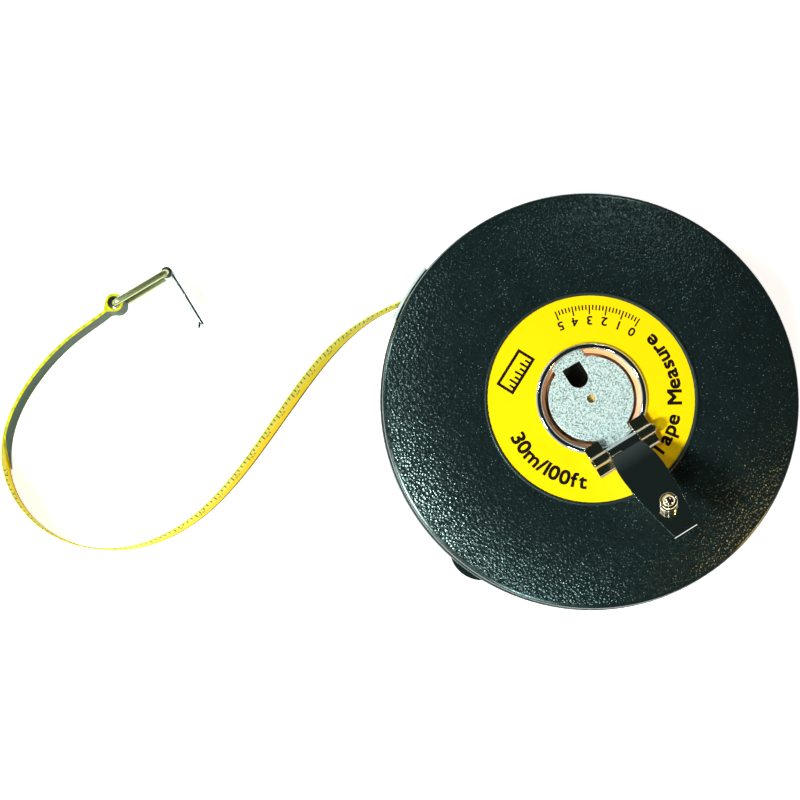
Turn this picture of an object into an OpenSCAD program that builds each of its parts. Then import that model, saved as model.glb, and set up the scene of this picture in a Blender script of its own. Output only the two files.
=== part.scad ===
// Closed-case surveyor tape reel with a folding crank, a pulled-out end of tape,
// an end ring and a hook. The back face lies on z = 0 and the drum turns about Z.
// The tape leaves the case through a mouth on the -X side.

/* [Case] */
// Outer radius of the body shell
case_r = 80.6; // [80:0.1:82]
// Outer radius of the front cover
lid_r = 79.8; // [79:0.1:79.9]
// Overall thickness of the closed case
case_h = 26; // [26:0.5:27]
// Height at which the front cover meets the body shell
split_z = 20; // [20:0.1:20.5]
// Thickness of the side wall
wall = 2.6; // [2.2:0.1:2.8]
// Thickness of the back of the body shell
back_t = 2.5; // [2:0.1:2.5]
// Thickness of the front cover
lid_t = 3; // [2.6:0.1:3.2]
// Radius of the printed label
label_r = 39.6; // [38:0.1:41]

/* [Tape] */
// Width of the tape
tape_w = 13; // [12:0.5:13.2]
// Thickness of the tape
tape_t = 0.4; // [0.3:0.05:0.5]
// Outer radius of the wound coil
coil_r = 66; // [60:0.5:66]
// Radius of the drum core that the tape is wound on
core_r = 25; // [24.6:0.1:27]

/* [Crank] */
// Direction of the crank at rest, measured from +X about +Z
crank_dir = -31; // [-180:1:180]
// Distance from the drum's axis to the hinge pin's axis
hinge_x = 21.5; // [21.2:0.1:22]
// Height of the hinge pin's axis above the back face
hinge_z = 30.3; // [30.2:0.1:31]
// Slope of the line from the hinge to the knob's foot at rest
crank_rise = 28.5; // [10:0.5:40]
// Distance from the hinge to the knob's foot
knob_x = 31; // [30.8:0.1:31.2]
// Length of the crank plate from the hinge to its tip
plate_len = 41; // [40:0.5:41.5]
// Thickness of the crank plate
plate_t = 1.2; // [1:0.1:1.4]

/* [Tape end] */
// Diameter of the end ring's wire
ring_d = 2.6; // [2:0.1:2.8]
// Length of the end ring between the middles of its two bars
ring_len = 23.3; // [20:0.1:28]
// Direction in which the end ring points
ring_dir = 59; // [40:1:75]
// Direction of the hook, measured from the ring's
hook_turn = -89; // [-95:1:-60]
// Length of the hook from the ring's far bar
hook_len = 25; // [22:1:30]

/* [Hidden] */
$fn = 96;
fine = 180;
e = 0.01;

// Heights inside the case, from the back up
seat_z = 4;                     // top of the spindle's flange
flange_z = 4.6;                 // underside of the back flange
flange_t = 0.8;
gap_z = flange_z + flange_t;    // bottom of the winding space
gap_h = tape_w + 1;
top_z = gap_z + gap_h;          // top of the winding space
tape_z = gap_z + (gap_h - tape_w) / 2;
tape_mid = tape_z + tape_w / 2;
web_z = 14.7;                   // underside of the core's web
web_t = 2;
pan_z = web_z + web_t;          // underside of the winding pan
sheet = 0.8;                    // thickness of pan, disc and bracket sheet
ledge_z = 24.7;                 // top of the pan's ledge, where the disc rests
rim_z = case_h + 1.5;           // top of the pan's rim
flange_r = 70.5;

// Radii of the middle pieces
spindle_r = 4;
bush_r = 5.2;
pan_r = 18.4;                   // outside of the pan's lower wall
well_r = 19;                    // inside of the pan's upper wall
rim_r = 21.2;
lid_hole_r = 20.4;
disc_r = 16.3;
tab_w = 13.2;
run = 0.05;                     // radial clearance of a running fit

// Screws, rivets and their circles
boss_ring_r = 74.6;
boss_r = 2.8;
screw_r = 1.4;
rivet_ring_r = 23;
pan_rivet_ring_r = 13;

// The mouth: the tape leaves the coil on a tangent and crosses the wall at this angle from +X
mouth_a = 178.2;
lead_r = coil_r + 0.75;
lead_turn = asin(lead_r / case_r);   // between the lead and the wall's normal
lead_out = 2.48;                // length of the lead beyond the wall
mouth_plate_a = 176.7;
mouth_half_a = 8.3;
mouth_plate_t = 1.2;
mouth_w = 3.2;

// The crank plate is a sheet bent to a large radius, highest between hinge and knob
bend_r = 110;
bend_z = -sqrt(bend_r * bend_r - knob_x * knob_x / 4);
knob_lean = asin(knob_x / 2 / bend_r);
barrel_r = 2.4;
pin_r = 1;
barrel_w = 13;
bracket_w = 26.6;
knob_r = 3.3;
knob_z = 0.75;                  // foot of the knob above the plate's middle surface
shank_r = 1.5;

// Route of the free tape's middle line, from the mouth to the end loop.
// Each point is [x, y, z, lean of the tape's upper edge to the right in degrees].
ROUTE = [
    [-82, 0.55, 12.4, 0], [-88, -7, 12.1, 0], [-92.5, -15.5, 11.3, 5], [-96, -24, 10.2, 9.5],
    [-99, -33, 9.1, 12.5], [-100.5, -42, 8.2, 13.5], [-102, -51.5, 7.5, 13.5], [-103.5, -61, 7, 13],
    [-104.5, -70.5, 6.7, 12], [-106, -80, 6.5, 11], [-107.5, -89.5, 6.5, 10], [-110, -99, 6.5, 9.5],
    [-113, -108, 6.5, 8], [-117, -116, 6.5, 6.5], [-122.5, -124, 6.5, 5.5], [-129, -130.5, 6.5, 3.5],
    [-136.5, -136, 6.5, 2.5], [-145.5, -139.5, 6.5, 2], [-155, -141.5, 6.5, 2.5],
    [-164.5, -141.5, 6.5, 3.5], [-174, -138.5, 6.5, 3], [-182, -134, 6.5, 2], [-188.5, -127.5, 6.5, 0.5],
    [-193, -120, 6.5, 0], [-195.5, -111, 6.7, 0], [-196.5, -101.5, 7, 0], [-195.5, -91.5, 7.4, 0],
    [-193.5, -82, 7.9, 0], [-191, -72.5, 8.4, 0], [-187.2, -65.7, 8.9, 0], [-183.9, -59, 9.3, 0],
    [-182, -54.5, 9.5, 0]];
ROUTE_STEPS = 2;                // rings for each span of the route
free_t = 0.5;
free_w = tape_w - 0.02;
strip_t = 0.7;                  // the strip that stiffens the tape's end
strip_gap = 0.03;
strip_start = 45;               // the station where the strip begins

// The tape's end: loop, ring and hook
loop_x = -180.6;
loop_y = -51.05;
loop_r = 3.6;
loop_t = 1.1;
loop_z = 9.5;
rod_low = loop_z - 8.1;
rod_high = loop_z + 8.1;
ring_lean = 4.5;                // the upper rod leans this far to the right of the tape
hook_t = 0.9;
hook_lean = -11;

// ---------- helpers ----------

// A flat ring or tube between two heights
module tube(r_out, r_in, z_low, z_high, f = fine) {
    translate([0, 0, z_low]) difference() {
        cylinder(r = r_out, h = z_high - z_low, $fn = f);
        translate([0, 0, -1]) cylinder(r = r_in, h = z_high - z_low + 2, $fn = f);
    }
}

// A plain round post between two heights
module post(r, z_low, z_high, f = 48) {
    translate([0, 0, z_low]) cylinder(r = r, h = z_high - z_low, $fn = f);
}

// Copies its children to equal angles round the drum's axis
module round_copies(count, ring_r, first = 0) {
    for (i = [0 : count - 1])
        rotate([0, 0, first + i * 360 / count]) translate([ring_r, 0, 0]) children();
}

// A profile drawn in X and Z, made solid over a width along Y
module across(width) {
    rotate([90, 0, 0]) linear_extrude(height = width, center = true) children();
}

// The crank's own frame: origin on the hinge pin, +X towards the knob
module at_crank() {
    rotate([0, 0, crank_dir]) translate([hinge_x, 0, hinge_z]) rotate([0, -crank_rise, 0])
        children();
}

// The knob's own frame: origin on the plate's middle surface, +Z along the knob
module at_knob() {
    at_crank() translate([knob_x, 0, 0]) rotate([0, knob_lean, 0]) children();
}

// The mouth's own frame: origin on the wall, +X outwards along the tape
module at_mouth(z) {
    rotate([0, 0, mouth_a]) translate([case_r, 0, z]) rotate([0, 0, lead_turn]) children();
}

// The oblique slot that the tape passes through
module mouth_slot(z_low, z_high) {
    at_mouth(z_low) translate([-9, -mouth_w / 2, 0]) cube([18, mouth_w, z_high - z_low]);
}

// ---------- case ----------

// Half profile of the body shell, with round outer edges
module shell_profile() {
    edge = 1.5;
    difference() {
        union() {
            square([case_r - edge, split_z]);
            translate([case_r - edge, edge]) square([edge, split_z - 2 * edge]);
            translate([case_r - edge, edge]) circle(r = edge, $fn = 48);
            translate([case_r - edge, split_z - edge]) circle(r = edge, $fn = 48);
        }
        translate([-1, back_t]) square([case_r - wall + 1, split_z]);
    }
}

module back_cover() {
    lug_a = 261.5;
    color([0.09, 0.11, 0.11]) difference() {
        union() {
            rotate_extrude($fn = fine) shell_profile();
            rotate([0, 0, lug_a]) translate([case_r - 3, 0, 4]) intersection() {
                translate([0, -8, 0]) cube([6, 16, 11]);
                translate([-7.4, 0, 0]) cylinder(r = 12.5, h = 11);
            }
        }
        post(r = screw_r, z_low = -1, z_high = 4);
        post(r = 3, z_low = -1, z_high = 1.2);
        round_copies(4, boss_ring_r, 45) {
            post(r = screw_r, z_low = -1, z_high = 4);
            post(r = 2.6, z_low = -1, z_high = 1.2);
        }
        mouth_slot(gap_z - 0.5, split_z + 1);
        mouth_rivet_holes();
    }
}

// Half profile of the front cover: bevelled edge, recess for the label and a raised bead round it
module lid_profile() {
    bevel = 1.3;
    tongue_r = case_r - wall - 0.15;
    difference() {
        union() {
            polygon([[lid_hole_r, case_h - lid_t], [lid_hole_r, case_h], [lid_r - bevel, case_h],
                     [lid_r - 0.4, case_h - 0.5], [lid_r, case_h - bevel],
                     [lid_r, split_z + 0.2], [lid_r - 0.2, split_z], [tongue_r, split_z],
                     [tongue_r, split_z - 3], [tongue_r - 1.65, split_z - 3],
                     [tongue_r - 1.65, case_h - lid_t]]);
            translate([label_r + 0.8, case_h]) circle(r = 0.7, $fn = 32);
        }
        translate([lid_hole_r - 1, case_h - 0.3]) square([label_r - lid_hole_r + 1, 1]);
    }
}

module front_cover() {
    color([0.09, 0.12, 0.12]) difference() {
        union() {
            rotate_extrude($fn = fine) lid_profile();
            round_copies(4, boss_ring_r, 45)
                post(r = boss_r, z_low = back_t, z_high = case_h - lid_t + 0.5);
        }
        round_copies(4, boss_ring_r, 45) post(r = screw_r, z_low = 0, z_high = 14);
        mouth_slot(0, top_z);
    }
}

module front_label() {
    color([0.98, 0.92, 0.02]) tube(label_r, lid_hole_r + 0.1, case_h - 0.3, case_h, fine);
}

// Holes for the mouth plate's two rivets, through wall and plate
module mouth_rivet_holes() {
    for (side = [-1, 1])
        rotate([0, 0, mouth_plate_a + side * (mouth_half_a - 1.7)])
            translate([case_r - 6, 0, tape_mid]) rotate([0, 90, 0])
                cylinder(r = 1, h = 12, $fn = 32);
}

module mouth_plate() {
    color([0.85, 0.86, 0.88]) difference() {
        translate([0, 0, 3]) intersection() {
            difference() {
                cylinder(r = case_r + mouth_plate_t, h = 18.6, $fn = fine);
                translate([0, 0, -1]) cylinder(r = case_r, h = 21, $fn = fine);
            }
            rotate([0, 0, mouth_plate_a])
                linear_extrude(height = 18.6)
                    polygon([[0, 0], [2 * case_r, -2 * case_r * tan(mouth_half_a)],
                             [2 * case_r, 2 * case_r * tan(mouth_half_a)]]);
        }
        mouth_slot(gap_z, top_z);
        mouth_rivet_holes();
    }
}

module mouth_rivets() {
    r_out = case_r + mouth_plate_t;
    color([0.8, 0.81, 0.83])
        for (side = [-1, 1])
            rotate([0, 0, mouth_plate_a + side * (mouth_half_a - 1.7)])
                translate([0, 0, tape_mid]) rotate([0, 90, 0]) {
                    post(r = 1, z_low = case_r - wall - 0.5, z_high = r_out + 0.2, f = 32);
                    post(r = 1.7, z_low = case_r - wall - 0.6, z_high = case_r - wall - 0.1, f = 32);
                    post(r = 1.7, z_low = r_out + e, z_high = r_out + 0.6, f = 32);
                }
}

// One countersunk screw, head at the back
module case_screw(length) {
    post(r = screw_r, z_low = 0.4, z_high = length);
    difference() {
        post(r = 2.5, z_low = 0.2, z_high = 1.2);
        translate([-2, -0.35, -0.5]) cube([4, 0.7, 1.2]);
        translate([-0.35, -2, -0.5]) cube([0.7, 4, 1.2]);
    }
}

module case_screws() {
    color([0.25, 0.25, 0.27]) round_copies(4, boss_ring_r, 45) case_screw(13.5);
}

// ---------- spindle ----------

module spindle() {
    shoulder_z = pan_z + sheet + 0.15;
    color([0.85, 0.65, 0.25]) difference() {
        union() {
            post(r = 9, z_low = back_t, z_high = seat_z);
            post(r = spindle_r, z_low = back_t, z_high = shoulder_z);
            post(r = 2.5, z_low = back_t, z_high = ledge_z - sheet - 0.4);
        }
        tube(4, 1.9, shoulder_z + 0.8, shoulder_z + 1.5, 48);
        post(r = screw_r, z_low = 0, z_high = 11);
    }
}

module spindle_screw() {
    color([0.8, 0.62, 0.25]) case_screw(10.5);
}

module thrust_washer() {
    color([0.92, 0.92, 0.88]) tube(8.4, spindle_r + 0.05, seat_z, flange_z, 72);
}

module stop_washer() {
    shoulder_z = pan_z + sheet + 0.15;
    color([0.75, 0.76, 0.78]) tube(5.9, 2.55, shoulder_z, shoulder_z + 0.8, 72);
}

module retaining_clip() {
    shoulder_z = pan_z + sheet + 0.15;
    color([0.3, 0.3, 0.32]) difference() {
        tube(4.2, 1.95, shoulder_z + 0.82, shoulder_z + 1.4, 48);
        translate([0, -1.2, shoulder_z]) cube([6, 2.4, 3]);
    }
}

// ---------- drum ----------

module drum_bush() {
    color([0.72, 0.5, 0.25]) tube(bush_r, spindle_r + run, flange_z + 0.15, pan_z + sheet, 72);
}

module drum_core() {
    color([0.16, 0.16, 0.17]) difference() {
        rotate_extrude($fn = fine) union() {
            translate([bush_r, gap_z]) square([3, pan_z - gap_z]);
            translate([bush_r, web_z]) square([core_r - bush_r, web_t]);
            translate([core_r - 4, gap_z]) square([4, gap_h]);
        }
        round_copies(4, rivet_ring_r, 20) post(r = 1, z_low = 0, z_high = case_h, f = 32);
        round_copies(3, pan_rivet_ring_r, crank_dir) post(r = 1, z_low = 0, z_high = case_h, f = 32);
        rotate([0, 0, 150]) {
            translate([rivet_ring_r, 0, 0]) post(r = 1.5, z_low = 0, z_high = case_h, f = 32);
            translate([rivet_ring_r, -0.4, 0]) cube([4, 0.8, case_h]);
        }
    }
}

module back_flange() {
    color([0.2, 0.2, 0.21]) difference() {
        tube(flange_r, 8.8, flange_z, gap_z);
        round_copies(4, rivet_ring_r, 20) post(r = 1, z_low = 0, z_high = case_h, f = 32);
    }
}

module front_flange() {
    color([0.2, 0.2, 0.21]) difference() {
        tube(flange_r, core_r - 4, top_z, top_z + flange_t);
        round_copies(4, rivet_ring_r, 20) post(r = 1, z_low = 0, z_high = case_h, f = 32);
    }
}

module flange_rivets() {
    color([0.7, 0.71, 0.73]) round_copies(4, rivet_ring_r, 20) {
        post(r = 1, z_low = flange_z - 0.2, z_high = top_z + flange_t + 0.2, f = 32);
        post(r = 1.8, z_low = flange_z - 0.5, z_high = flange_z, f = 32);
        post(r = 1.8, z_low = top_z + flange_t, z_high = top_z + flange_t + 0.5, f = 32);
    }
}

module wound_tape() {
    color([0.93, 0.85, 0.1]) tube(coil_r, core_r, tape_z, tape_z + tape_w);
}

module tape_wedge() {
    color([0.9, 0.9, 0.86]) rotate([0, 0, 150])
        translate([rivet_ring_r, 0, 0]) post(r = 1.5, z_low = tape_z, z_high = tape_z + tape_w, f = 32);
}

// The stretch of tape from the coil to just outside the mouth
module tape_lead() {
    lead_in = sqrt(case_r * case_r - lead_r * lead_r);
    color([0.93, 0.85, 0.1]) at_mouth(tape_z)
        translate([-lead_in, -tape_t / 2, 0]) cube([lead_in + lead_out, tape_t, tape_w]);
}

// Half profile of the winding pan, a stepped sheet-metal dish with a bevelled rim
module pan_profile() {
    step = sheet;
    polygon([[bush_r, pan_z], [pan_r, pan_z], [pan_r, ledge_z - step], [well_r + step, ledge_z - step],
             [well_r + step, rim_z - 1.1], [rim_r, rim_z - 1.1], [rim_r + 0.1, rim_z - 0.7],
             [rim_r - 0.5, rim_z - 0.1], [rim_r - 1, rim_z], [well_r + 0.5, rim_z - 0.1],
             [well_r + 0.1, rim_z - 0.5], [well_r, rim_z - 1], [well_r, ledge_z],
             [pan_r - step, ledge_z], [pan_r - step, pan_z + step], [bush_r, pan_z + step]]);
}

module winding_pan() {
    color([0.82, 0.83, 0.85]) difference() {
        rotate_extrude($fn = fine) pan_profile();
        round_copies(3, pan_rivet_ring_r, crank_dir) post(r = 1, z_low = 0, z_high = case_h, f = 32);
    }
}

module pan_rivets() {
    color([0.7, 0.71, 0.73]) round_copies(3, pan_rivet_ring_r, crank_dir) {
        post(r = 1, z_low = web_z - 0.2, z_high = pan_z + sheet + 0.2, f = 32);
        post(r = 1.7, z_low = web_z - 0.5, z_high = web_z, f = 32);
        post(r = 1.7, z_low = pan_z + sheet, z_high = pan_z + sheet + 0.5, f = 32);
    }
}

// The grained disc over the pan, with a D-shaped hole for the knob opposite the hinge
module hub_disc() {
    hole_far = 14.7;
    hole_r = 3.9;
    hole_near = 5.5;
    color([0.8, 0.86, 0.83]) rotate([0, 0, crank_dir]) translate([0, 0, ledge_z])
        linear_extrude(height = sheet) difference() {
            union() {
                circle(r = disc_r, $fn = fine);
                intersection() {
                    circle(r = well_r - 0.1, $fn = fine);
                    square([2 * well_r, tab_w], center = true);
                }
            }
            circle(r = 1.6, $fn = 32);
            translate([-hole_near - hole_r, 0]) circle(r = hole_r, $fn = 48);
            translate([-hole_far, -hole_r])
                square([hole_far - hole_near - hole_r, 2 * hole_r]);
        }
}

// Two lugs that carry the hinge pin, joined by a strip under the crank
module hinge_bracket() {
    lug_w = (bracket_w - barrel_w) / 2 - 0.3;
    lug_y = (barrel_w + lug_w) / 2 + 0.3;
    foot_x = hinge_x + 6.2;
    color([0.6, 0.62, 0.62]) rotate([0, 0, crank_dir]) {
        for (side = [-1, 1])
            translate([0, side * lug_y, 0]) across(lug_w) difference() {
                union() {
                    translate([hinge_x, hinge_z]) circle(r = barrel_r, $fn = 64);
                    translate([hinge_x - barrel_r, rim_z]) square([2 * barrel_r, hinge_z - rim_z]);
                    polygon([[15, rim_z + 0.3], [15.4, rim_z], [rim_r + 0.6, rim_z],
                             [rim_r + 1.4, rim_z - 0.8], [foot_x, rim_z - 0.8], [foot_x, rim_z - 0.1],
                             [foot_x - 0.8, rim_z + 0.7], [hinge_x, rim_z + 0.9],
                             [15.8, rim_z + 0.8], [15, rim_z + 0.4]]);
                }
                translate([hinge_x, hinge_z]) circle(r = pin_r, $fn = 48);
            }
        translate([hinge_x + barrel_r + 0.8, -bracket_w / 2 + 1, rim_z - 0.8])
            cube([3, bracket_w - 2, 0.7]);
    }
}

module hinge_pin() {
    color([0.55, 0.56, 0.58]) rotate([0, 0, crank_dir]) translate([hinge_x, 0, hinge_z])
        rotate([90, 0, 0]) {
            cylinder(r = pin_r, h = bracket_w + 1, center = true, $fn = 48);
            for (side = [-1, 1]) translate([0, 0, side * (bracket_w / 2 + 0.35)])
                cylinder(r = 1.6, h = 0.6, center = true, $fn = 48);
        }
}

// ---------- crank ----------

// Half width of the crank plate at a distance from the hinge: widest at 12.5, narrow at the tip
function half_w(x) = x < 12.5
    ? 6.3 + 1.9 * sin(90 * max(0, x - 2) / 10.5)
    : 8.2 - 3.4 * (1 - cos(74 * (x - 12.5) / 28.5)) / (1 - cos(74));

module plate_outline() {
    steps = 24;
    xs = [for (i = [0 : steps]) 1 + (plate_len - 1) * i / steps];
    polygon(concat([for (x = xs) [x, half_w(x)]],
                   [for (i = [steps : -1 : 0]) [xs[i], -half_w(xs[i])]]));
}

module crank_plate() {
    tip_z = bend_z + sqrt(bend_r * bend_r - pow(plate_len - knob_x / 2, 2)) - 0.4;
    color([0.13, 0.14, 0.14]) at_crank() difference() {
        union() {
            rotate([90, 0, 0]) cylinder(r = barrel_r, h = barrel_w, center = true, $fn = 64);
            intersection() {
                translate([0, 0, -15]) linear_extrude(height = 30) plate_outline();
                translate([knob_x / 2, 0, bend_z]) rotate([90, 0, 0]) difference() {
                    cylinder(r = bend_r + plate_t / 2, h = 30, center = true, $fn = 360);
                    cylinder(r = bend_r - plate_t / 2, h = 32, center = true, $fn = 360);
                }
            }
            translate([plate_len, 0, tip_z]) rotate([90, 0, 0])
                cylinder(r = 0.9, h = 2 * half_w(plate_len), center = true, $fn = 32);
        }
        rotate([90, 0, 0]) cylinder(r = pin_r + run, h = 20, center = true, $fn = 48);
        translate([knob_x, 0, 0]) rotate([0, knob_lean, 0])
            post(r = shank_r, z_low = -3, z_high = 3);
    }
}

module knob_rivet() {
    color([0.8, 0.81, 0.83]) at_knob() {
        post(r = shank_r, z_low = -0.9, z_high = 8);
        post(r = 2.3, z_low = -plate_t / 2 - 0.6, z_high = -plate_t / 2 - 0.04);
        translate([0, 0, 7.2]) rotate_extrude($fn = 64) intersection() {
            square([2.4, 2]);
            translate([0, -0.7]) circle(r = 2.6, $fn = 64);
        }
    }
}

module knob() {
    color([0.82, 0.82, 0.83]) at_knob() rotate_extrude($fn = 72) difference() {
        polygon([[shank_r + 0.06, knob_z], [knob_r - 0.2, knob_z], [knob_r, knob_z + 0.2],
                 [knob_r, knob_z + 0.9], [knob_r - 0.3, knob_z + 1.2], [2.7, knob_z + 1.6],
                 [2.7, knob_z + 2.8], [knob_r - 0.3, knob_z + 3.4], [knob_r, knob_z + 3.8],
                 [knob_r, knob_z + 6.1], [knob_r - 0.2, knob_z + 6.5], [knob_r - 0.6, knob_z + 6.6],
                 [2.5, knob_z + 6.3], [shank_r + 0.06, knob_z + 6.3]]);
    }
}

// ---------- the free tape and what is on it ----------

// One point of the route, by a Catmull-Rom curve through the listed points
function knot(i) = ROUTE[max(0, min(len(ROUTE) - 1, i))];
function on_route(i, t) =
    let (a = knot(i - 1), b = knot(i), c = knot(i + 1), d = knot(i + 2))
    0.5 * (2 * b + (c - a) * t + (2 * a - 5 * b + 4 * c - d) * t * t
           + (3 * b - a - 3 * c + d) * t * t * t);
STATIONS = concat([for (i = [0 : len(ROUTE) - 2]) for (k = [0 : ROUTE_STEPS - 1])
                   on_route(i, k / ROUTE_STEPS)], [knot(len(ROUTE) - 1)]);
function heading(i) =
    let (a = STATIONS[max(0, i - 1)], b = STATIONS[min(len(STATIONS) - 1, i + 1)],
         d = [b[0] - a[0], b[1] - a[1]])
    d / norm(d);

// The four corners of a strip's cross-section at a station, between two distances to the right of
// the tape's middle line, leaning to the right at its upper edge
function ring_at(i, near, far) =
    let (p = STATIONS[i], d = heading(i), n = [d[1], -d[0]], c = cos(p[3]), s = sin(p[3]),
         up = [n[0] * s, n[1] * s, c], side = [n[0] * c, n[1] * c, -s])
    [for (q = [[near, -1], [far, -1], [far, 1], [near, 1]])
        [p[0], p[1], p[2]] + up * (q[1] * free_w / 2) + side * q[0]];

// A strip that follows the route from one of its stations to its end
module strip_along(first, near, far) {
    last = len(STATIONS) - 1 - first;
    points = [for (i = [0 : last]) each ring_at(first + i, near, far)];
    sides = [for (i = [0 : last - 1]) for (k = [0 : 3])
             let (a = 4 * i + k, b = 4 * i + (k + 1) % 4) [a, a + 4, b + 4, b]];
    polyhedron(points, concat([[0, 1, 2, 3]], sides,
                              [[4 * last + 3, 4 * last + 2, 4 * last + 1, 4 * last]]));
}

module free_tape() {
    color([0.93, 0.85, 0.1]) strip_along(0, -free_t / 2, free_t / 2);
}

module end_strip() {
    near = free_t / 2 + strip_gap;
    color([0.3, 0.38, 0.32]) strip_along(strip_start, near, near + strip_t);
}

module tape_loop() {
    color([0.85, 0.78, 0.15]) translate([loop_x, loop_y, loop_z - tape_w / 2])
        difference() {
            cylinder(r = loop_r, h = tape_w, $fn = 64);
            translate([0, 0, -1]) cylinder(r = loop_r - loop_t, h = tape_w + 2, $fn = 64);
        }
}

// The ring's own frame: origin on the near bar, +X towards the far bar
module at_ring() {
    translate([loop_x, loop_y, loop_z]) rotate([0, 0, ring_dir]) rotate([ring_lean, 0, 0])
        translate([0, 0, -loop_z]) children();
}

module end_ring() {
    r = ring_d / 2;
    color([0.75, 0.77, 0.72]) at_ring() {
        for (x = [0, ring_len]) translate([x, 0, 0]) post(r = r, z_low = rod_low, z_high = rod_high);
        for (z = [rod_low, rod_high]) translate([0, 0, z]) {
            rotate([0, 90, 0]) cylinder(r = r, h = ring_len, $fn = 48);
            for (x = [0, ring_len]) translate([x, 0, 0]) sphere(r = r, $fn = 48);
        }
    }
}

// A tapering plate that turns on the ring's far bar, its tip bent into a claw
module hook() {
    r_in = ring_d / 2 + 0.08;
    r_out = r_in + hook_t;
    half_h = 6.3;
    color([0.8, 0.83, 0.82]) at_ring() translate([ring_len, 0, loop_z]) rotate([0, 0, hook_turn])
        difference() {
            union() {
                cylinder(r = r_out, h = 2 * half_h, center = true, $fn = 48);
                rotate([hook_lean, 0, 0]) {
                    translate([0, hook_t, 0]) rotate([90, 0, 0]) linear_extrude(height = hook_t)
                        polygon([[0, -5.6], [8, -6], [14, -5], [hook_len - 1, 0.6],
                                 [hook_len, 2.2], [hook_len - 0.6, 4.4], [8, 6], [0, 5.6]]);
                    translate([hook_len - 3.2, 0, 0]) rotate([0, 0, -35])
                        translate([0, 0, 1.6]) cube([3.4, hook_t, 2.4]);
                }
            }
            cylinder(r = r_in, h = 30, center = true, $fn = 48);
            for (x = [14.6, 16.4]) rotate([hook_lean, 0, 0]) translate([x, 0, 1.6])
                rotate([90, 0, 0]) cylinder(r = 0.7, h = 6, center = true, $fn = 32);
        }
}

back_cover();
front_cover();
front_label();
mouth_plate();
mouth_rivets();
case_screws();
spindle();
spindle_screw();
thrust_washer();
stop_washer();
retaining_clip();
drum_bush();
drum_core();
back_flange();
front_flange();
flange_rivets();
wound_tape();
tape_wedge();
tape_lead();
winding_pan();
pan_rivets();
hub_disc();
hinge_bracket();
hinge_pin();
crank_plate();
knob_rivet();
knob();
free_tape();
end_strip();
tape_loop();
end_ring();
hook();
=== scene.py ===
"""Looks for the closed-case surveyor tape reel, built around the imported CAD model.

Places and sizes are in metres in the model's own frame: the back face lies on z = 0, the drum
turns about Z, and the tape leaves the case on the -X side. MM and the angles in degrees keep the
small numbers readable.
"""

import math

import bmesh
import bpy
from mathutils import Matrix, Vector


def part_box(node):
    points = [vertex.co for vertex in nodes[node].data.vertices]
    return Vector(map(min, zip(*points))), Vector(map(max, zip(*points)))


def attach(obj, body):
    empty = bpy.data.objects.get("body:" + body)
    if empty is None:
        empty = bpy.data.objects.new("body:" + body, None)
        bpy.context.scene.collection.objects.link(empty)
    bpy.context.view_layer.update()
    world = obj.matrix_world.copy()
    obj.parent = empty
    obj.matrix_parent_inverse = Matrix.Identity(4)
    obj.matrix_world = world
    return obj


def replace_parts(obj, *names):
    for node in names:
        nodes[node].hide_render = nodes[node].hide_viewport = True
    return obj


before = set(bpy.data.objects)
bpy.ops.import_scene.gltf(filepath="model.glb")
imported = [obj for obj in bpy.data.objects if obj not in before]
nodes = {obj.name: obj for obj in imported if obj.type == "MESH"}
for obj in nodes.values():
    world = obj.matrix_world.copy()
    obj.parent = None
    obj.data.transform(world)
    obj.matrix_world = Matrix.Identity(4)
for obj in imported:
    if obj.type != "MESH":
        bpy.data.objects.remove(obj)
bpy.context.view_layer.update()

MM = 0.001
LABEL_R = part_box("front_label")[1].x
LABEL_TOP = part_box("front_label")[1].z
LID_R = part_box("front_cover")[1].x
LEDGE_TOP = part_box("hub_disc")[0].z  # the pan's ledge, which the disc rests on

# The free tape: its middle line from the mouth to the end loop, as in the CAD source.
# Each point is (x, y, z, lean of the upper edge to the right in degrees).
ROUTE = [
    (-0.082, 0.00055, 0.0124, 0), (-0.088, -0.007, 0.0121, 0),
    (-0.0925, -0.0155, 0.0113, 5), (-0.096, -0.024, 0.0102, 9.5),
    (-0.099, -0.033, 0.0091, 12.5), (-0.1005, -0.042, 0.0082, 13.5),
    (-0.102, -0.0515, 0.0075, 13.5), (-0.1035, -0.061, 0.007, 13),
    (-0.1045, -0.0705, 0.0067, 12), (-0.106, -0.08, 0.0065, 11),
    (-0.1075, -0.0895, 0.0065, 10), (-0.11, -0.099, 0.0065, 9.5),
    (-0.113, -0.108, 0.0065, 8), (-0.117, -0.116, 0.0065, 6.5),
    (-0.1225, -0.124, 0.0065, 5.5), (-0.129, -0.1305, 0.0065, 3.5),
    (-0.1365, -0.136, 0.0065, 2.5), (-0.1455, -0.1395, 0.0065, 2),
    (-0.155, -0.1415, 0.0065, 2.5), (-0.1645, -0.1415, 0.0065, 3.5),
    (-0.174, -0.1385, 0.0065, 3), (-0.182, -0.134, 0.0065, 2),
    (-0.1885, -0.1275, 0.0065, 0.5), (-0.193, -0.12, 0.0065, 0),
    (-0.1955, -0.111, 0.0067, 0), (-0.1965, -0.1015, 0.007, 0),
    (-0.1955, -0.0915, 0.0074, 0), (-0.1935, -0.082, 0.0079, 0),
    (-0.191, -0.0725, 0.0084, 0), (-0.1872, -0.0657, 0.0089, 0),
    (-0.1839, -0.059, 0.0093, 0), (-0.182, -0.0545, 0.0095, 0)]
ROUTE_STEPS = 10  # stations from one point of the route to the next
TAPE_W = 12.98 * MM
TAPE_T = 0.5 * MM
TAPE_SHADOW_BAND = 1.8 * MM  # band of painted contact shadow along the tape's lower edge, on both faces
STRIP_T = 0.7 * MM
STRIP_GAP = 0.03 * MM
STRIP_LOW_BAND = 0.6 * MM
STRIP_TAPER = 14 * MM
STRIP_FIRST = 22 * ROUTE_STEPS  # the station where the stiffening strip begins
TICK_PITCH = 2 * MM

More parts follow.
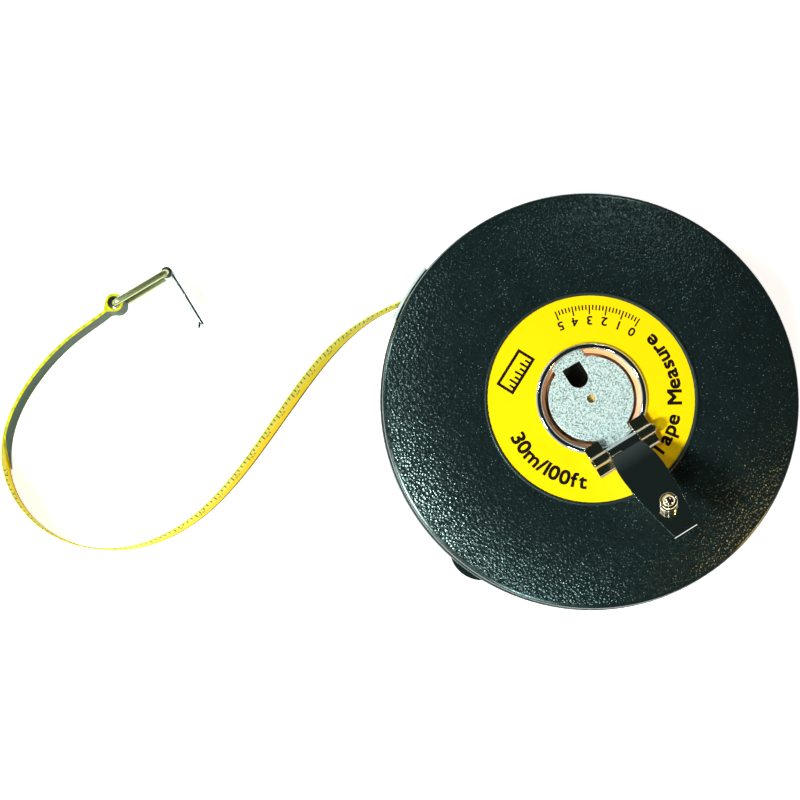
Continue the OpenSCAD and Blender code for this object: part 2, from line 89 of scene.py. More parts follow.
# The end ring: which way its length points from the eye and how it leans, in degrees
RING_TURN = 59
RING_LEAN = 4.5
RING_LENGTH = 23.3 * MM
RING_HALF_HEIGHT = 8.1 * MM
RING_CORNER = 2.2 * MM
RING_WIRE_R = 1.3 * MM


# ---------- mesh helpers ----------

def mesh_piece(name, points, faces, body, materials, face_materials=None, smooth=True):
    """A mesh object that rides on a body."""
    mesh = bpy.data.meshes.new(name)
    mesh.from_pydata([tuple(p) for p in points], [], faces)
    for material in materials:
        mesh.materials.append(material)
    if face_materials:
        mesh.polygons.foreach_set("material_index", face_materials)
    mesh.polygons.foreach_set("use_smooth", [smooth] * len(mesh.polygons))
    mesh.update()
    piece = bpy.data.objects.new(name, mesh)
    bpy.context.scene.collection.objects.link(piece)
    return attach(piece, body)


def bevel(piece, width, segments=2, angle=30):
    """Rounds a piece's sharp edges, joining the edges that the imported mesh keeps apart."""
    weld = piece.modifiers.new("weld", "WELD")
    weld.merge_threshold = 0.001 * MM
    modifier = piece.modifiers.new("bevel", "BEVEL")
    modifier.width = width
    modifier.segments = segments
    modifier.limit_method = "ANGLE"
    modifier.angle_limit = math.radians(angle)
    modifier.harden_normals = True


def tube_rings(rings, closed):
    """Faces that join rings of points in order, with the ends capped unless closed."""
    count = len(rings[0])
    faces = []
    for i in range(len(rings) if closed else len(rings) - 1):
        j = (i + 1) % len(rings)
        for k in range(count):
            m = (k + 1) % count
            faces.append((i * count + k, j * count + k, j * count + m, i * count + m))
    if not closed:
        faces.append(tuple(range(count)))
        faces.append(tuple(reversed(range((len(rings) - 1) * count, len(rings) * count))))
    return faces


# ---------- material helpers ----------

def add(tree, kind, inputs=None, **settings):
    """Adds a node. Each input is a value or another node's output."""
    node = tree.nodes.new(kind)
    for key, value in settings.items():
        setattr(node, key, value)
    for key, value in (inputs or {}).items():
        if isinstance(value, bpy.types.NodeSocket):
            tree.links.new(value, node.inputs[key])
        else:
            node.inputs[key].default_value = value
    return node


def shader(name, color, roughness, metallic=0.0, **sockets):
    """A principled material. Returns it with its node tree and its shader node."""
    material = bpy.data.materials.new(name)
    material.use_nodes = True
    tree = material.node_tree
    bsdf = tree.nodes["Principled BSDF"]
    bsdf.inputs["Base Color"].default_value = (*color, 1)
    bsdf.inputs["Roughness"].default_value = roughness
    bsdf.inputs["Metallic"].default_value = metallic
    for key, value in sockets.items():
        bsdf.inputs[key.replace("_", " ")].default_value = value
    return material, tree, bsdf


def place(tree):
    """Where a point is, in the model's frame."""
    return add(tree, "ShaderNodeTexCoord").outputs["Object"]


def math_node(tree, operation, first, second=0.0, third=0.0):
    node = add(tree, "ShaderNodeMath", {0: first, 1: second, 2: third}, operation=operation)
    return node.outputs[0]


def spread(tree, value, low, high, to_low=0.0, to_high=1.0):
    """Maps a value from one span to another, held at the ends."""
    node = add(tree, "ShaderNodeMapRange", {
        "Value": value, "From Min": low, "From Max": high, "To Min": to_low, "To Max": to_high})
    return node.outputs["Result"]


def mix(tree, factor, first, second):
    """A colour between two colours."""
    node = add(tree, "ShaderNodeMix", {"Factor": factor}, data_type="RGBA")
    for socket, value in ((node.inputs[6], first), (node.inputs[7], second)):
        if isinstance(value, bpy.types.NodeSocket):
            tree.links.new(value, socket)
        else:
            socket.default_value = (*value, 1)
    return node.outputs[2]


def noise(tree, size, detail=2.0, roughness=0.5):
    """Noise whose features are about one size across."""
    node = add(tree, "ShaderNodeTexNoise", {
        "Vector": place(tree), "Scale": 1 / size, "Detail": detail, "Roughness": roughness})
    return node.outputs["Fac"]


def cells(tree, size, smooth=None):
    """Distance inside cells of about one size across, with their borders rounded if smooth."""
    node = add(tree, "ShaderNodeTexVoronoi", {"Vector": place(tree), "Scale": 1 / size},
               feature="SMOOTH_F1" if smooth else "F1")
    if smooth:
        node.inputs["Smoothness"].default_value = smooth
    return node.outputs["Distance"]


def bump(tree, bsdf, height, distance, strength=1.0):
    """Feeds a height into the shader's normal."""
    node = add(tree, "ShaderNodeBump", {"Height": height, "Distance": distance,
                                        "Strength": strength})
    tree.links.new(node.outputs["Normal"], bsdf.inputs["Normal"])


def link(tree, value, bsdf, socket):
    tree.links.new(value, bsdf.inputs[socket])


def radius_of(tree):
    """Distance from the drum's axis."""
    flat = add(tree, "ShaderNodeVectorMath", {0: place(tree), 1: (1, 1, 0)}, operation="MULTIPLY")
    return add(tree, "ShaderNodeVectorMath", {0: flat.outputs[0]},
               operation="LENGTH").outputs["Value"]


def height_of(tree):
    return add(tree, "ShaderNodeSeparateXYZ", {0: place(tree)}).outputs["Z"]


# ---------- materials ----------

def case_black():
    """Black plastic with a pebbled grain on both faces. Pale dots painted into the base colour on
    the pebbles' tops are painted glints. The rim, the wall and a dull border round the label are
    smooth."""
    material, tree, bsdf = shader("case_black", (0.010, 0.019, 0.019), 0.2, IOR=1.5)
    normal = add(tree, "ShaderNodeNewGeometry").outputs["True Normal"]
    facing = add(tree, "ShaderNodeSeparateXYZ", {0: normal}).outputs["Z"]
    flat = spread(tree, math_node(tree, "ABSOLUTE", facing), 0.8, 0.95)
    edge = LID_R - 1.9 * MM
    inside = spread(tree, radius_of(tree), edge, edge + 0.5 * MM, 1.0, 0.0)
    border = spread(tree, radius_of(tree), LABEL_R + 0.9 * MM, LABEL_R + 1.2 * MM, 1.0, 0.0)
    border = math_node(tree, "MULTIPLY", border,
                       spread(tree, height_of(tree), LABEL_TOP - 4 * MM, LABEL_TOP - 3 * MM))
    grained = math_node(tree, "MULTIPLY", flat, inside)
    grained = math_node(tree, "MULTIPLY", grained, spread(tree, border, 0, 1, 1.0, 0.0))
    pebbles = spread(tree, cells(tree, 1.1 * MM, smooth=0.3), 0.1, 0.7, 1.0, 0.0)
    grit = noise(tree, 0.75 * MM, 2)
    height = math_node(tree, "MULTIPLY_ADD", grit, 0.6, pebbles)
    bump(tree, bsdf, height, 0.16 * MM, math_node(tree, "MULTIPLY", grained, 0.8))
    bsdf.inputs["Specular Tint"].default_value = (0.7, 1, 0.97, 1)
    tone = mix(tree, noise(tree, 9 * MM, 3), (0.004, 0.008, 0.008), (0.008, 0.017, 0.017))
    # Painted glints: pale dots mixed into the base colour stand in for light caught on the
    # pebbles' tops.
    painted_glint_dots = spread(tree, cells(tree, 1.15 * MM), 0.1, 0.2, 1.0, 0.0)
    painted_glints = math_node(tree, "MULTIPLY", painted_glint_dots, spread(tree, noise(tree, 2.6 * MM, 2), 0.42, 0.6))
    painted_glints = math_node(tree, "MULTIPLY", painted_glints, grained)
    link(tree, mix(tree, painted_glints, tone, (0.13, 0.21, 0.205)), bsdf, "Base Color")
    gloss = spread(tree, noise(tree, 1.6 * MM, 2), 0.3, 0.7, 0.14, 0.3)
    link(tree, math_node(tree, "MULTIPLY_ADD", border, 0.4, gloss), bsdf, "Roughness")
    return material


def label_yellow():
    """Glossy printed label, with the faintest unevenness in its ink."""
    material, tree, bsdf = shader("label_yellow", (0.96, 0.69, 0.0), 0.3, Coat_Weight=0.6,
                                  Coat_Roughness=0.06)
    link(tree, mix(tree, noise(tree, 12 * MM, 3), (0.97, 0.68, 0.0), (0.94, 0.7, 0.0)),
         bsdf, "Base Color")
    bump(tree, bsdf, noise(tree, 0.5 * MM, 2), 0.004 * MM, 0.4)
    return material


def polished(name, color, roughness, metallic=1.0):
    """Plated metal with a soft unevenness and fine scuffs in its gloss."""
    material, tree, bsdf = shader(name, color, roughness, metallic)
    scuffs = noise(tree, 0.5 * MM, 5, 0.7)
    link(tree, spread(tree, scuffs, 0.35, 0.8, roughness, roughness * 1.6 + 0.02),
         bsdf, "Roughness")
    bump(tree, bsdf, noise(tree, 4 * MM, 2), 0.02 * MM, 0.25)
    return material


def pan_metal():
    """Chrome rim, a warm passivated ledge round the disc, and a well below it that is painted
    near-black as shade.
    """
    material, tree, bsdf = shader("pan_metal", (0.8, 0.81, 0.82), 0.09, 1.0)
    # Painted shade: inside the ledge, the pan's well is coloured near-black for the shade under
    # the disc.
    painted_shade_well = spread(tree, radius_of(tree), 15.2 * MM, 16 * MM, 1.0, 0.0)
    ring = spread(tree, radius_of(tree), 18.95 * MM, 19.1 * MM, 1.0, 0.0)
    low = spread(tree, height_of(tree), LEDGE_TOP + 0.1 * MM, LEDGE_TOP + 1.2 * MM, 1.0, 0.0)
    warm = math_node(tree, "MULTIPLY", ring, low)
    film = mix(tree, spread(tree, noise(tree, 7 * MM, 2), 0.35, 0.65),
               (1.0, 0.5, 0.22), (0.95, 0.6, 0.4))
    tone = mix(tree, warm, (0.8, 0.81, 0.82), film)
    link(tree, mix(tree, painted_shade_well, tone, (0.012, 0.012, 0.01)), bsdf, "Base Color")
    link(tree, spread(tree, warm, 0, 1, 0.09, 0.5), bsdf, "Roughness")
    link(tree, spread(tree, warm, 0, 1, 1, 0.35), bsdf, "Metallic")
    bump(tree, bsdf, noise(tree, 3 * MM, 2), 0.02 * MM, 0.3)
    return material


def grained_silver():
    """Silver sheet with a fine hammered grain and dark pits."""
    material, tree, bsdf = shader("grained_silver", (0.6, 0.72, 0.67), 0.42, 0.4)
    fine = noise(tree, 0.55 * MM, 3, 0.75)
    pits = spread(tree, fine, 0.49, 0.59)
    tone = mix(tree, noise(tree, 6 * MM, 2), (0.78, 1.0, 0.99), (0.84, 1.0, 1.0))
    link(tree, mix(tree, pits, tone, (0.16, 0.26, 0.24)), bsdf, "Base Color")
    bump(tree, bsdf, fine, 0.1 * MM, 0.6)
    return material


def dark_metal():
    """Black phosphated steel of the drum's flanges."""
    material, tree, bsdf = shader("dark_metal", (0.05, 0.05, 0.055), 0.45, 0.8)
    link(tree, spread(tree, noise(tree, 2 * MM, 4), 0.3, 0.7, 0.35, 0.6), bsdf, "Roughness")
    bump(tree, bsdf, noise(tree, 0.4 * MM, 3), 0.01 * MM, 0.5)
    return material


def moulded(name, color, roughness):
    """Plain moulded plastic with a faint matt texture."""
    material, tree, bsdf = shader(name, color, roughness)
    bump(tree, bsdf, noise(tree, 0.3 * MM, 3), 0.01 * MM, 0.5)
    link(tree, spread(tree, noise(tree, 5 * MM, 2), 0.3, 0.7, roughness - 0.06, roughness + 0.06),
         bsdf, "Roughness")
    return material


def wound_layers():
    """The coil's tape seen on its edges: fine rings, one to each layer."""
    material, tree, bsdf = shader("wound_layers", (0.8, 0.66, 0.05), 0.5)
    turn = math_node(tree, "MULTIPLY", radius_of(tree), 2 * math.pi / (0.4 * MM))
    wave = math_node(tree, "SINE", turn)
    link(tree, mix(tree, spread(tree, wave, -1, 1), (0.5, 0.4, 0.04), (0.85, 0.7, 0.06)),
         bsdf, "Base Color")
    bump(tree, bsdf, wave, 0.03 * MM, 0.5)
    return material


def tape_face():
    """Coated tape with painted light across its width: golden low down, where the table's bounce
    light is painted, and paler and greener along the printed upper edge.
    """
    material, tree, bsdf = shader("tape_face", (0.9, 0.72, 0.02), 0.5, Specular_IOR_Level=0.02)
    across = add(tree, "ShaderNodeSeparateXYZ", {
        0: add(tree, "ShaderNodeUVMap", uv_map="strip").outputs["UV"]}).outputs["Y"]
    weave = math_node(tree, "MULTIPLY", noise(tree, 1.5 * MM, 3), 0.16)
    # Painted light: golden towards the table for its bounce light, greener and paler along the
    # upper edge.
    painted_light_level = math_node(tree, "ADD", across, weave)
    link(tree, mix(tree, spread(tree, painted_light_level, 0.55, 0.85), (0.86, 0.62, 0.0), (0.72, 0.7, 0.1)),
         bsdf, "Base Color")
    bump(tree, bsdf, noise(tree, 0.35 * MM, 3), 0.012 * MM, 0.5)
    return material


def flat_coat(name, color, color_2, roughness, size):
    """A coat whose colour drifts between two tones."""
    material, tree, bsdf = shader(name, color, roughness, Specular_IOR_Level=0.05)
    link(tree, mix(tree, spread(tree, noise(tree, size, 3), 0.35, 0.65), color, color_2),
         bsdf, "Base Color")
    bump(tree, bsdf, noise(tree, 0.3 * MM, 3), 0.012 * MM, 0.5)
    return material


CASE = case_black()
LABEL = label_yellow()
CHROME = polished("chrome", (0.74, 0.77, 0.75), 0.05)
PAN = pan_metal()
SILVER = grained_silver()
STEEL = polished("bright_steel", (0.72, 0.73, 0.74), 0.16)
PLATE = polished("plated_steel", (0.37, 0.46, 0.43), 0.22)
WIRE = polished("plated_wire", (0.42, 0.47, 0.24), 0.26)
WARM_CHROME = polished("warm_chrome", (0.86, 0.74, 0.52), 0.08)
DARK = dark_metal()
BRASS = polished("brass", (1.0, 0.66, 0.2), 0.4, metallic=0.5)
SATIN = moulded("satin_plate", (0.56, 0.64, 0.64), 0.5)
NYLON = moulded("white_plastic", (0.78, 0.78, 0.73), 0.45)
DRUM = moulded("drum_black", (0.03, 0.03, 0.032), 0.45)
COIL = wound_layers()
FACE = tape_face()
EDGE = flat_coat("tape_edge", (0.4, 0.42, 0.01), (0.7, 0.68, 0.02), 0.5, 2 * MM)
# Painted shadow: dark brown for the band along the tape's lower edge, where it meets the table.
TAPE_SHADOW_EDGE = flat_coat("tape_painted_shadow", (0.09, 0.05, 0.0), (0.14, 0.085, 0.0), 0.5, 2 * MM)
STRIP = flat_coat("strip_green", (0.018, 0.05, 0.026), (0.03, 0.066, 0.038), 0.45, 4 * MM)
INK = flat_coat("black_ink", (0.006, 0.005, 0.004), (0.012, 0.01, 0.008), 0.4, 3 * MM)
TAPE_INK = flat_coat("tape_ink", (0.07, 0.08, 0.01), (0.12, 0.12, 0.015), 0.5, 1 * MM)

# Each node's material and the width of its edges' rounding
FINISHES = {
    "back_cover": (CASE, 0.3 * MM), "front_cover": (CASE, 0.2 * MM),
    "front_label": (LABEL, 0.05 * MM), "mouth_plate": (SATIN, 0.15 * MM),
    "mouth_rivets": (STEEL, 0.15 * MM), "case_screws": (DARK, 0.1 * MM),
    "spindle": (BRASS, 0.15 * MM), "spindle_screw": (BRASS, 0.1 * MM),
    "thrust_washer": (NYLON, 0.05 * MM), "stop_washer": (STEEL, 0.08 * MM),
    "retaining_clip": (DARK, 0.06 * MM), "drum_bush": (BRASS, 0.05 * MM),
    "drum_core": (DRUM, 0.1 * MM), "back_flange": (DARK, 0.1 * MM),
    "front_flange": (DARK, 0.1 * MM), "flange_rivets": (STEEL, 0.1 * MM),
    "wound_tape": (COIL, 0.05 * MM), "tape_wedge": (NYLON, 0.1 * MM),
    "tape_lead": (EDGE, 0.04 * MM), "winding_pan": (PAN, 0.15 * MM),
    "pan_rivets": (STEEL, 0.1 * MM), "hub_disc": (SILVER, 0.12 * MM),
    "hinge_bracket": (WARM_CHROME, 0.22 * MM), "hinge_pin": (WARM_CHROME, 0.15 * MM),
    "crank_plate": (CHROME, 0.22 * MM), "knob_rivet": (WARM_CHROME, 0.15 * MM),
    "knob": (WARM_CHROME, 0.12 * MM), "hook": (PLATE, 0.15 * MM),
}


def finish_nodes():
    """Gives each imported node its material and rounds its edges."""
    for name, (material, width) in FINISHES.items():
        piece = nodes[name]
        mesh = piece.data
        mesh.materials.clear()
        mesh.materials.append(material)
        mesh.polygons.foreach_set("material_index", [0] * len(mesh.polygons))
        mesh.polygons.foreach_set("use_smooth", [True] * len(mesh.polygons))
        for attribute in ("custom_normal", "sharp_edge"):
            if attribute in mesh.attributes:
                mesh.attributes.remove(mesh.attributes[attribute])
        mesh.update()
        bevel(piece, width)


# ---------- the free tape ----------

def catmull_rom(a, b, c, d, t):
    """A smooth curve's point from b to c, with a and d their neighbours."""
    return 0.5 * (2 * b + (c - a) * t + (2 * a - 5 * b + 4 * c - d) * t * t
                  + (3 * b - a - 3 * c + d) * t * t * t)


def route_stations():
    """Points and cross directions along the tape: (distance, middle, side, up, lean)."""
    knots = [Vector(knot) for knot in ROUTE]
    for factor in (0.5, -0.52) * 3:  # evens out small bends without drawing the route in
        middles = [(a + c) / 2 - b for a, b, c in zip(knots, knots[1:], knots[2:])]
        for knot, middle in zip(knots[1:-1], middles):
            knot += middle * factor
    last = len(knots) - 1
    points = []
    for i in range(last):
        around = [knots[max(0, min(last, i + k))] for k in (-1, 0, 1, 2)]
        points += [catmull_rom(*around, step / ROUTE_STEPS) for step in range(ROUTE_STEPS)]
    points.append(knots[last])
    stations = []
    distance = 0.0
    for i, p in enumerate(points):
        middle = Vector(p[:3])
        if i:
            distance += (middle - Vector(points[i - 1][:3])).length
        ahead = points[min(i + 1, len(points) - 1)]
        behind = points[max(i - 1, 0)]
        heading = Vector((ahead[0] - behind[0], ahead[1] - behind[1], 0)).normalized()
        right = Vector((heading.y, -heading.x, 0))
        c, s = math.cos(math.radians(p[3])), math.sin(math.radians(p[3]))
        stations.append((distance, middle, right * c - Vector((0, 0, s)),
                         right * s + Vector((0, 0, c))))
    return stations


STATIONS = route_stations()
TAPE_LENGTH = STATIONS[-1][0]


def on_tape(distance, across, aside):
    """A point at a distance along the tape, at a height across it and to the right of it."""
    index = 1
    while index < len(STATIONS) - 1 and STATIONS[index][0] < distance:
        index += 1
    a, b = STATIONS[index - 1], STATIONS[index]
    t = (distance - a[0]) / (b[0] - a[0])
    middle, side, up = (a[k].lerp(b[k], t) for k in (1, 2, 3))
    return middle + up * across + side * aside


def strip_profile(near, far, half, band):
    """A flat strip's cross-section with cut corners: (aside, across, next side's material)."""
    cut = 0.1 * MM
    return [
        (near + cut, -half, 1), (far - cut, -half, 1), (far, -half + cut, 2),
        (far, -half + band, 0), (far, half - cut, 1), (far - cut, half, 1),
        (near + cut, half, 1), (near, half - cut, 0), (near, -half + band, 2),
        (near, -half + cut, 1)]


def make_strip(name, profile, first, materials, taper=0.0):
    """A strip swept along the tape's stations from one of them to the last."""
    rings = []
    for distance, middle, side, up in STATIONS[first:]:
        point = 1.0
        if taper:
            point = min(1.0, 0.12 + (distance - STATIONS[first][0]) / taper)
        half = TAPE_W / 2
        rings.append([middle + side * aside + up * ((across + half) * point - half)
                      for aside, across, _ in profile])
    faces = tube_rings(rings, closed=False)
    kinds = [profile[k][2] for _ in rings[1:] for k in range(len(profile))] + [1, 1]
    points = [p for ring in rings for p in ring]
    piece = mesh_piece(name, points, faces, "case", materials, kinds, smooth=False)
    layer = piece.data.uv_layers.new(name="strip")
    for loop in piece.data.loops:
        ring, k = divmod(loop.vertex_index, len(profile))
        layer.data[loop.index].uv = (ring / len(rings), profile[k][1] / TAPE_W + 0.5)
    return piece


def slab_on_tape(points, faces, corners, aside, rise):
    """Adds a thin slab whose corners are (distance, across) on one face of the tape."""
    base = len(points)
    count = len(corners)
    for offset in (aside, aside + rise):
        points += [on_tape(d, v, offset) for d, v in corners]
    faces.append(tuple(range(base, base + count)))
    faces.append(tuple(reversed(range(base + count, base + 2 * count))))
    for k in range(count):
        m = (k + 1) % count
        faces.append((base + k, base + count + k, base + count + m, base + m))


def letter_mesh(text, height, stretch=1.0):
    """Vertices and faces of built-in letters with their capitals one height tall, and their
    width."""
    scale = height / 0.73
    curve = bpy.data.curves.new("letter", "FONT")
    curve.body = text
    curve.resolution_u = 3
    holder = bpy.data.objects.new("letter", curve)
    bpy.context.scene.collection.objects.link(holder)
    bpy.context.view_layer.update()
    shape = holder.evaluated_get(bpy.context.evaluated_depsgraph_get()).to_mesh()
    points = [v.co * scale for v in shape.vertices]
    faces = [tuple(p.vertices) for p in shape.polygons]
    bpy.data.objects.remove(holder)
    bpy.data.curves.remove(curve)
    low = min(p.x for p in points)
    high = max(p.x for p in points)
    flat = [Vector(((p.x - low) * stretch, p.y)) for p in points]
    return flat, faces, (high - low) * stretch


def raised_outline(points, faces, flat, flat_faces, to_place, rise):
    """Adds a flat shape as a thin closed slab. to_place turns (x, y, lift) into a point."""
    base, count = len(points), len(flat)
    points += [to_place(p.x, p.y, 0) for p in flat] + [to_place(p.x, p.y, rise) for p in flat]
    outline = {}
    for face in flat_faces:
        faces.append(tuple(base + k for k in reversed(face)))
        faces.append(tuple(base + count + k for k in face))
        for k, m in zip(face, face[1:] + face[:1]):
            if outline.pop((m, k), None) is None:
                outline[(k, m)] = True
    faces += [(base + k, base + m, base + count + m, base + count + k) for k, m in outline]


def make_tape_print():
    """Divisions along the upper edge of both faces, with a number at every fifth."""
    points, faces = [], []
    rise = 0.02 * MM
    zero = TAPE_LENGTH + 29.7 * MM  # past the tape, at the end ring's far bar
    top = TAPE_W / 2 - 0.05 * MM
    half_tick = 0.25 * MM
    for hand in (-1, 1):
        aside = hand * TAPE_T / 2
        last = TAPE_LENGTH - 6 * MM if hand < 0 else STATIONS[STRIP_FIRST][0]
        for mark in range(int((zero - last) / TICK_PITCH) + 1, int(zero / TICK_PITCH)):
            distance = zero - mark * TICK_PITCH
            if distance < 2 * MM:
                continue
            whole = mark % 5 == 0
            deep = 5.6 * MM if whole else 3.3 * MM
            corners = [(distance - half_tick, top - deep), (distance + half_tick, top - deep),
                       (distance + half_tick, top), (distance - half_tick, top)]
            slab_on_tape(points, faces, corners if hand > 0 else corners[::-1], aside,
                         hand * rise)
            if not whole or distance < 6 * MM:
                continue
            flat, flat_faces, _ = letter_mesh(str(mark // 5), 2.1 * MM)
            start = distance + hand * 0.9 * MM

            def to_place(x, y, lift, start=start, hand=hand, aside=aside):
                return on_tape(start + hand * x, top - 6.6 * MM + y, aside + hand * lift)
            raised_outline(points, faces, flat, flat_faces, to_place, rise)
    piece = mesh_piece("tape_print", points, faces, "case", [TAPE_INK], smooth=False)
    tidy_normals(piece)
    return piece


def tidy_normals(piece):
    """Turns every face of a closed mesh outwards."""
    shape = bmesh.new()
    shape.from_mesh(piece.data)
    bmesh.ops.recalc_face_normals(shape, faces=shape.faces)
    shape.to_mesh(piece.data)
    shape.free()


def make_end_eye():
    """The eye at the tape's end: a round loop that draws in to the tape like a drop."""
    low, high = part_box("tape_loop")
    centre = (low + high) / 2
    outer = (high.x - low.x) / 2
    inner = outer - 1.1 * MM
    neck = STATIONS[-1][1] - centre
    neck_angle = math.atan2(neck.y, neck.x)
    neck_reach, neck_spread = 1.4 * MM, 0.34
    steps = 96
    cut = 0.2 * MM
    rings = []
    for i in range(steps):
        angle = 2 * math.pi * i / steps
        away = math.remainder(angle - neck_angle, 2 * math.pi)
        reach = outer + neck_reach * math.exp(-((away / neck_spread) ** 2))
        ray = Vector((math.cos(angle), math.sin(angle), 0))
        profile = [(inner, low.z + cut), (inner + cut, low.z), (reach - cut, low.z),
                   (reach, low.z + cut), (reach, high.z - cut), (reach - cut, high.z),
                   (inner + cut, high.z), (inner, high.z - cut)]
        rings.append([Vector((centre.x, centre.y, 0)) + ray * r + Vector((0, 0, z))
                      for r, z in profile])
    faces = tube_rings(rings, closed=True)
    kinds = [kind for _ in rings for kind in (0, 0, 0, 1, 0, 0, 0, 1)]
    points = [p for ring in rings for p in ring]
    piece = mesh_piece("end_eye", points, faces, "case", [EDGE, STRIP], kinds, smooth=False)
    tidy_normals(piece)
    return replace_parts(piece, "tape_loop")


def make_ring_wire():
    """The end ring: one wire bent to a rectangle with round corners."""
    loop_low, loop_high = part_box("tape_loop")
    near = (loop_low + loop_high) / 2
    turn, lean = math.radians(RING_TURN), math.radians(RING_LEAN)
    direction = Vector((math.cos(turn), math.sin(turn), 0))
    right = Vector((math.sin(turn), -math.cos(turn), 0))
    rise = right * math.sin(lean) + Vector((0, 0, math.cos(lean)))
    flat = direction.cross(rise)
    steps, sides = 8, 20
    low, high = RING_CORNER, RING_LENGTH - RING_CORNER
    half = RING_HALF_HEIGHT - RING_CORNER
    rings = []
    for cx, cz, start in ((high, half, 0), (low, half, 90), (low, -half, 180), (high, -half, 270)):
        for i in range(steps + 1):
            a = math.radians(start + 90 * i / steps)
            out = direction * math.cos(a) + rise * math.sin(a)
            middle = near + direction * cx + rise * cz + out * RING_CORNER
            rings.append([middle + (out * math.cos(t) + flat * math.sin(t)) * RING_WIRE_R
                          for t in (2 * math.pi * k / sides for k in range(sides))])
    points = [p for ring in rings for p in ring]
    piece = mesh_piece("ring_wire", points, tube_rings(rings, closed=True), "ring", [WIRE])
    tidy_normals(piece)
    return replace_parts(piece, "end_ring")


# ---------- the label's print ----------

LETTER_STRETCH = 1.12


def arc_text(points, faces, text, start, radius, height, weight):
    """Letters round the label, tops towards the hub, from one angle in degrees. Each is set five
    times, a weight apart, which makes its strokes bold."""
    angle = math.radians(start)
    gap = 0.13 * height + weight
    for letter in text:
        if letter == " ":
            angle += 0.45 * height / radius
            continue
        flat, flat_faces, width = letter_mesh(letter, height, LETTER_STRETCH)
        angle += width / 2 / radius
        ray = Vector((math.cos(angle), math.sin(angle), 0))
        along = Vector((-ray.y, ray.x, 0))
        for i, (right, up) in enumerate(((0, 0), (1, 1), (-1, 1), (-1, -1), (1, -1))):
            def to_place(x, y, lift):
                flat_place = (ray * (radius - y - up * weight)
                              + along * (x - width / 2 + right * weight))
                return flat_place + Vector((0, 0, LABEL_TOP - 0.01 * MM + lift))
            raised_outline(points, faces, flat, flat_faces, to_place, (0.03 + 0.002 * i) * MM)
        angle += (width / 2 + gap) / radius


def bar_on_label(points, faces, middle, along, length, width):
    """A printed bar centred on a place, pointing along a direction."""
    aside = Vector((-along.y, along.x))
    corners = [middle + along * (length / 2 * a) + aside * (width / 2 * b)
               for a, b in ((-1, -1), (1, -1), (1, 1), (-1, 1))]

    def to_place(x, y, lift):
        return Vector((x, y, LABEL_TOP - 0.01 * MM + lift))
    raised_outline(points, faces, corners, [(0, 1, 2, 3)], to_place, 0.035 * MM)


def make_label_print():
    """Length, name of the tool, a short scale and a plain ruler sign in black ink."""
    points, faces = [], []
    height = 5.6 * MM
    baseline = 34.4 * MM
    weight = 0.21 * MM
    for text, start in (("30m/100ft", -126.5), ("Tape", -14), ("Measure", 24)):
        arc_text(points, faces, text, start, baseline, height, weight)

    # the scale
    scale_r, digit_base, digit = 36 * MM, 31.6 * MM, 3.4 * MM
    for i in range(26):
        turn = 86 + i * 2.15
        whole = i % 5 == 0
        length = 3.6 * MM if whole else 2 * MM
        ray = Vector((math.cos(math.radians(turn)), math.sin(math.radians(turn))))
        bar_on_label(points, faces, ray * (scale_r - length / 2), ray, length, 0.55 * MM)
        if whole:
            half_digit = letter_mesh(str(i // 5), digit, LETTER_STRETCH)[2] / 2
            start = turn - math.degrees(half_digit / digit_base)
            arc_text(points, faces, str(i // 5), start, digit_base, digit, 0.1 * MM)

    # the ruler sign
    centre_angle, sign_turn = math.radians(188), 1.35
    centre = Vector((math.cos(centre_angle), math.sin(centre_angle))) * 30.6 * MM
    along = Vector((math.cos(centre_angle + sign_turn), math.sin(centre_angle + sign_turn)))
    aside = Vector((-along.y, along.x))
    long, wide, line = 15 * MM, 6.4 * MM, 1.1 * MM
    for hand in (-1, 1):
        bar_on_label(points, faces, centre + aside * hand * wide / 2, along, long + line, line)
        bar_on_label(points, faces, centre + along * hand * long / 2, aside, wide - line, line)
    for i in range(1, 8):
        length = 3 * MM if i % 2 == 0 else 1.9 * MM
        middle = centre + along * (i / 8 - 0.5) * long + aside * (wide - line - length) / 2
        bar_on_label(points, faces, middle, aside, length, 0.8 * MM)
    piece = mesh_piece("label_print", points, faces, "case", [INK], smooth=False)
    tidy_normals(piece)
    return piece


# ---------- stage, lights and camera ----------

def add_camera():
    """The camera, above the reel and looking down at a small slant."""
    data = bpy.data.cameras.new("camera")
    data.lens = 71.235
    data.sensor_width = 36
    camera = bpy.data.objects.new("camera", data)
    bpy.context.scene.collection.objects.link(camera)
    position = Vector((-48.7, -84.44, 626.0)) * MM
    forward = (Vector((-64.42, -34.31, 26.0)) * MM - position).normalized()
    right = forward.cross(Vector((-0.461, 0.883, 0.086))).normalized()
    turn = Matrix((right, right.cross(forward), -forward)).transposed()
    camera.matrix_world = Matrix.Translation(position) @ turn.to_4x4()
    data.clip_start = 0.01
    bpy.context.scene.camera = camera


def add_light(name, azimuth, elevation, distance, size, power, color):
    """A soft square light that looks at the reel, at an azimuth from +X and an elevation."""
    data = bpy.data.lights.new(name, "AREA")
    data.size = size
    data.energy = power
    data.color = color
    light = bpy.data.objects.new(name, data)
    a, e = math.radians(azimuth), math.radians(elevation)
    away = Vector((math.cos(a) * math.cos(e), math.sin(a) * math.cos(e), math.sin(e)))
    target = Vector((-0.05, -0.03, 0.02))
    light.location = target + away * distance
    light.rotation_euler = away.to_track_quat("Z", "Y").to_euler()
    bpy.context.scene.collection.objects.link(light)


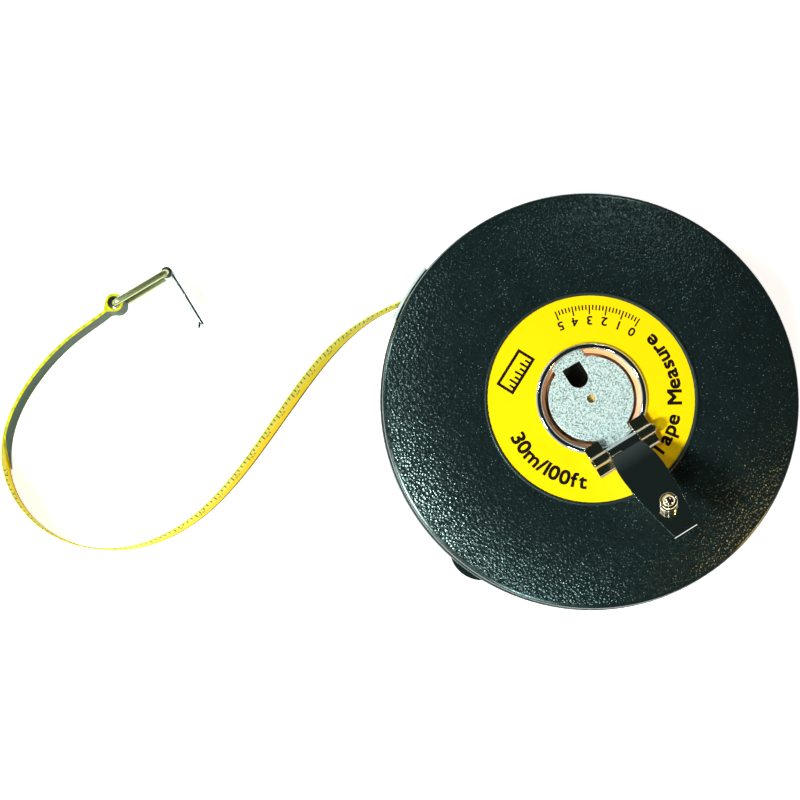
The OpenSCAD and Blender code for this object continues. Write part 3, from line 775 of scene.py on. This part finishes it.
def add_world():
    """A pale horizon that darkens overhead, as in a room above a light table."""
    world = bpy.data.worlds.new("world")
    bpy.context.scene.world = world
    world.use_nodes = True
    tree = world.node_tree
    rise = add(tree, "ShaderNodeSeparateXYZ", {
        0: add(tree, "ShaderNodeTexCoord").outputs["Generated"]}).outputs["Z"]
    ramp = add(tree, "ShaderNodeValToRGB", {0: rise})
    stops = ramp.color_ramp.elements
    stops[0].position, stops[0].color = 0.0, (0.9, 0.92, 0.92, 1)
    stops[1].position, stops[1].color = 0.16, (0.55, 0.58, 0.58, 1)
    for position, color in ((0.34, (0.06, 0.08, 0.08, 1)), (0.5, (0.012, 0.02, 0.018, 1))):
        stop = stops.new(position)
        stop.color = color
    background = tree.nodes["Background"]
    tree.links.new(ramp.outputs["Color"], background.inputs["Color"])
    background.inputs["Strength"].default_value = 1.0


def add_floor():
    """A pale matt table top."""
    material, tree, bsdf = shader("floor", (0.9, 0.9, 0.9), 0.7, Emission_Strength=0.8,
                                  Emission_Color=(1, 1, 1, 1))
    link(tree, mix(tree, noise(tree, 0.2, 2), (0.88, 0.89, 0.89), (0.92, 0.92, 0.92)),
         bsdf, "Base Color")
    half = 3.0
    mesh = bpy.data.meshes.new("floor")
    mesh.from_pydata([(-half, -half, 0), (half, -half, 0), (half, half, 0), (-half, half, 0)],
                     [], [(0, 1, 2, 3)])
    mesh.materials.append(material)
    floor = bpy.data.objects.new("floor", mesh)
    floor.location.z = -0.02 * MM
    bpy.context.scene.collection.objects.link(floor)


# ---------- the scene ----------

add_camera()
add_world()
add_floor()
add_light("key", 238, 46, 1.1, 0.16, 16, (0.96, 1.0, 0.96))
add_light("fill", 95, 45, 1.2, 0.12, 0.7, (0.95, 1.0, 1.0))
add_light("low", 288, 46, 1.2, 0.16, 5, (0.85, 1.0, 1.0))
add_light("side", 185, 42, 1.3, 0.16, 4, (0.9, 1.0, 1.0))
add_light("warm", 0, 30, 1.0, 0.12, 2.2, (1.0, 0.5, 0.18))
bpy.context.scene.view_settings.view_transform = "Standard"

finish_nodes()

tape_profile = strip_profile(-TAPE_T / 2, TAPE_T / 2, TAPE_W / 2, TAPE_SHADOW_BAND)
tape = make_strip("tape", tape_profile, 0, [FACE, EDGE, TAPE_SHADOW_EDGE])
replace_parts(tape, "free_tape")
strip_near = TAPE_T / 2 + STRIP_GAP
folded_profile = strip_profile(strip_near, strip_near + STRIP_T, TAPE_W / 2, STRIP_LOW_BAND)
strip = make_strip("stiff_strip", folded_profile, STRIP_FIRST, [STRIP, EDGE, STRIP],
                   taper=STRIP_TAPER)
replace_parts(strip, "end_strip")
tape_print = make_tape_print()
eye = make_end_eye()
ring = make_ring_wire()
make_label_print()
